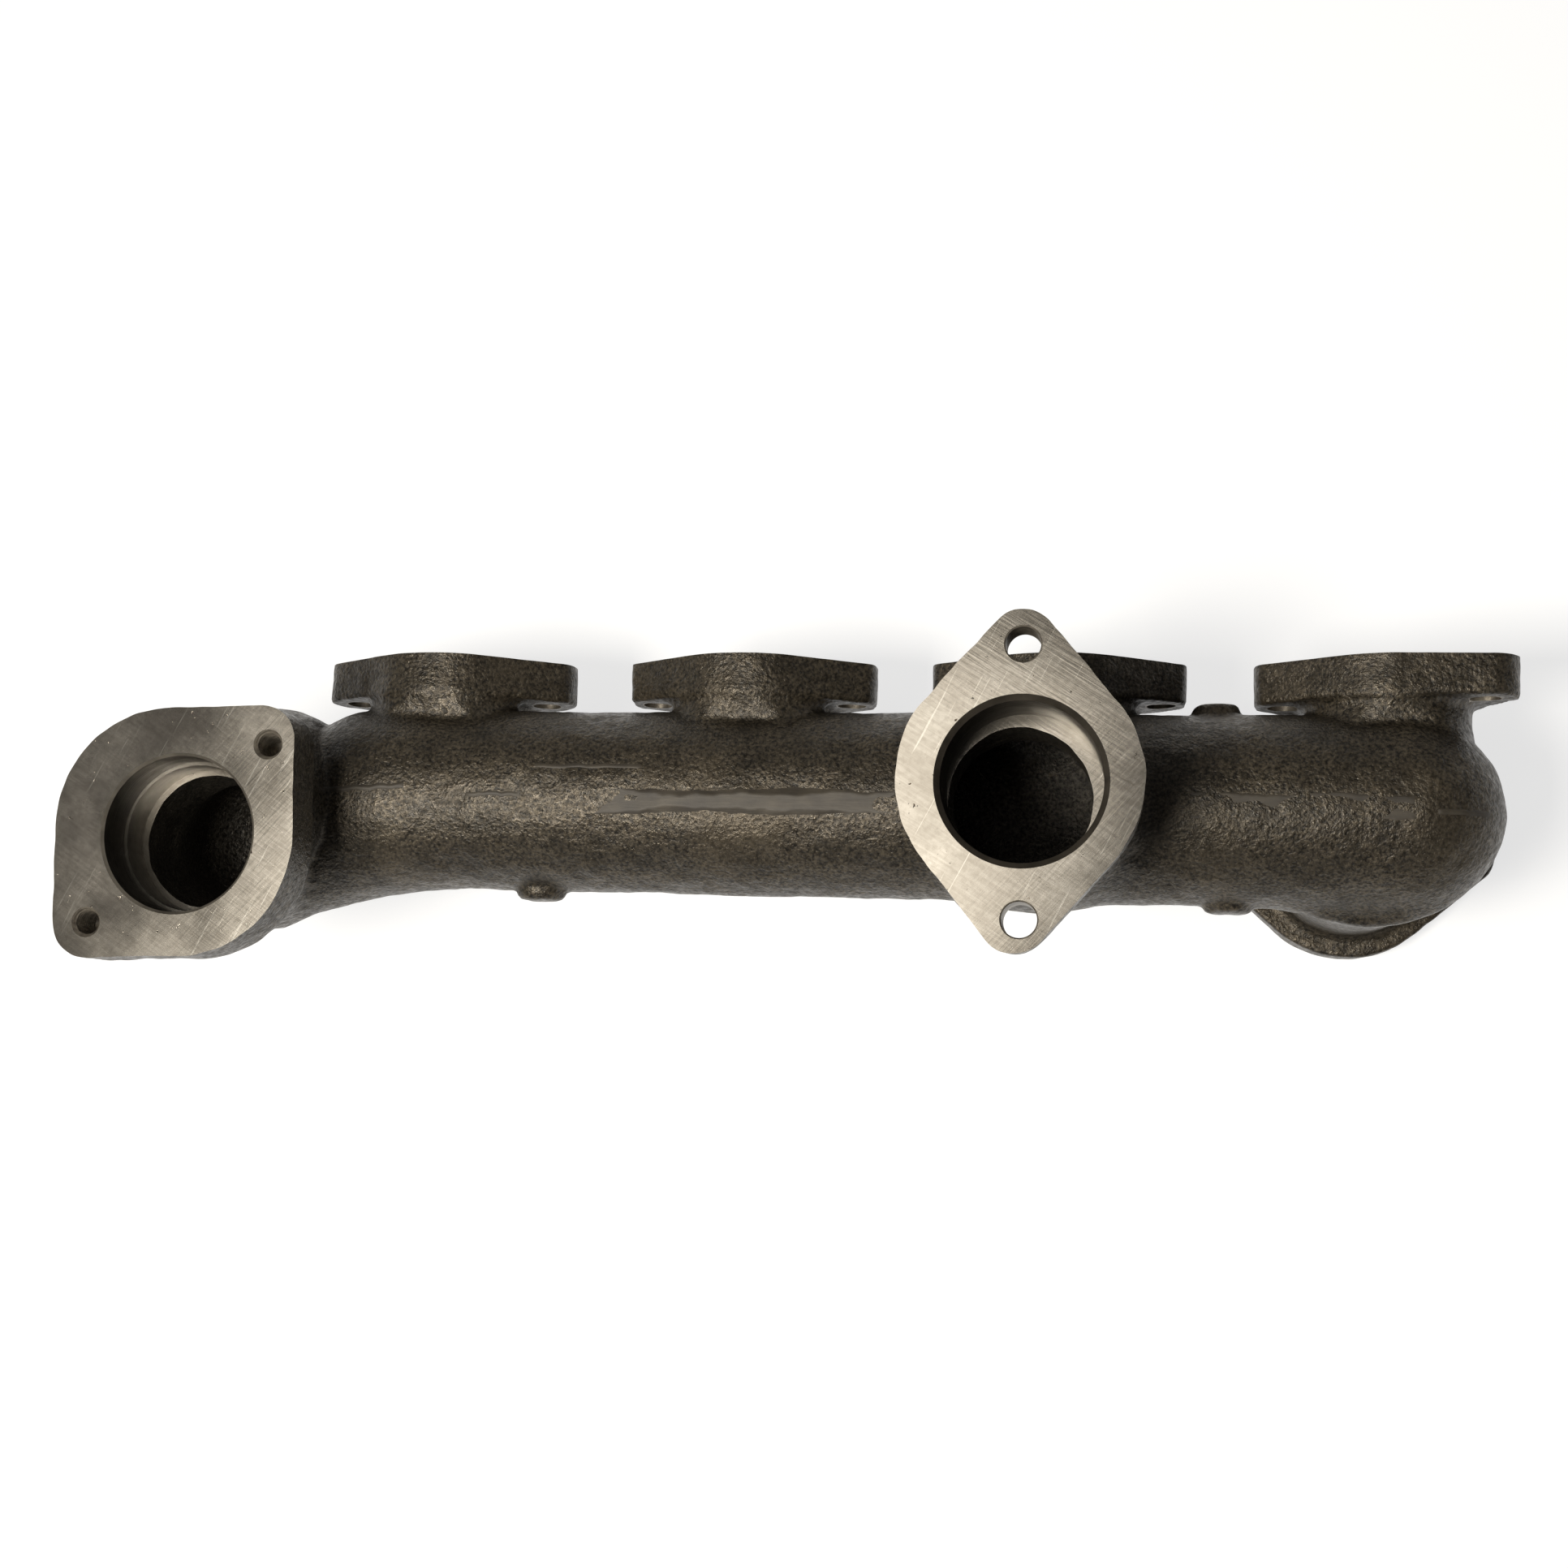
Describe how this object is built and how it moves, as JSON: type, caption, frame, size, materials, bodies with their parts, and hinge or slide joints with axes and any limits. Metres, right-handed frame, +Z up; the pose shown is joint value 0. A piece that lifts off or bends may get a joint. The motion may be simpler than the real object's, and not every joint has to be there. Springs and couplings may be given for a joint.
{
  "type": "exhaust manifold",
  "caption": "Cast log-type exhaust manifold: a row of flanged ports feeds one round log, which has a diamond outlet, a square outlet and a rear outlet.",
  "frame": {"origin": "on the plane of the port faces, midway between the second and third ports, at the height of the ports' centres", "axes": "+X along the log towards its rounded end, +Y out of the port faces towards the cylinder head, +Z up, out of the front and left outlets"},
  "size_m": [0.5291, 0.1238, 0.19],
  "materials": {
    "raw_casting": "rough sand casting, dark brown-grey with fine sparkling grain",
    "machined_iron": "milled flat, warm grey with fine tool marks and small rust specks"
  },
  "bodies": {
    "root": {"left_elbow": "raw_casting", "left_end": "raw_casting", "log_left": "raw_casting", "log_right": "raw_casting", "right_end": "raw_casting", "port_neck_1": "raw_casting", "port_neck_2": "raw_casting", "port_neck_3": "raw_casting", "port_neck_4": "raw_casting", "port_flange_1": "raw_casting", "port_flange_2": "raw_casting", "port_flange_3": "raw_casting", "port_flange_4": "raw_casting", "left_outlet_neck": "raw_casting", "left_outlet_flange": "machined_iron", "front_outlet_neck": "raw_casting", "front_outlet_flange": "machined_iron", "rear_outlet_neck": "raw_casting", "rear_outlet_flange": "machined_iron", "shield_boss_upper": "raw_casting", "shield_boss_lower_left": "raw_casting", "shield_boss_lower_right": "raw_casting", "parting_land_left": "machined_iron", "parting_land_right": "machined_iron"}
  },
  "joints": []
}
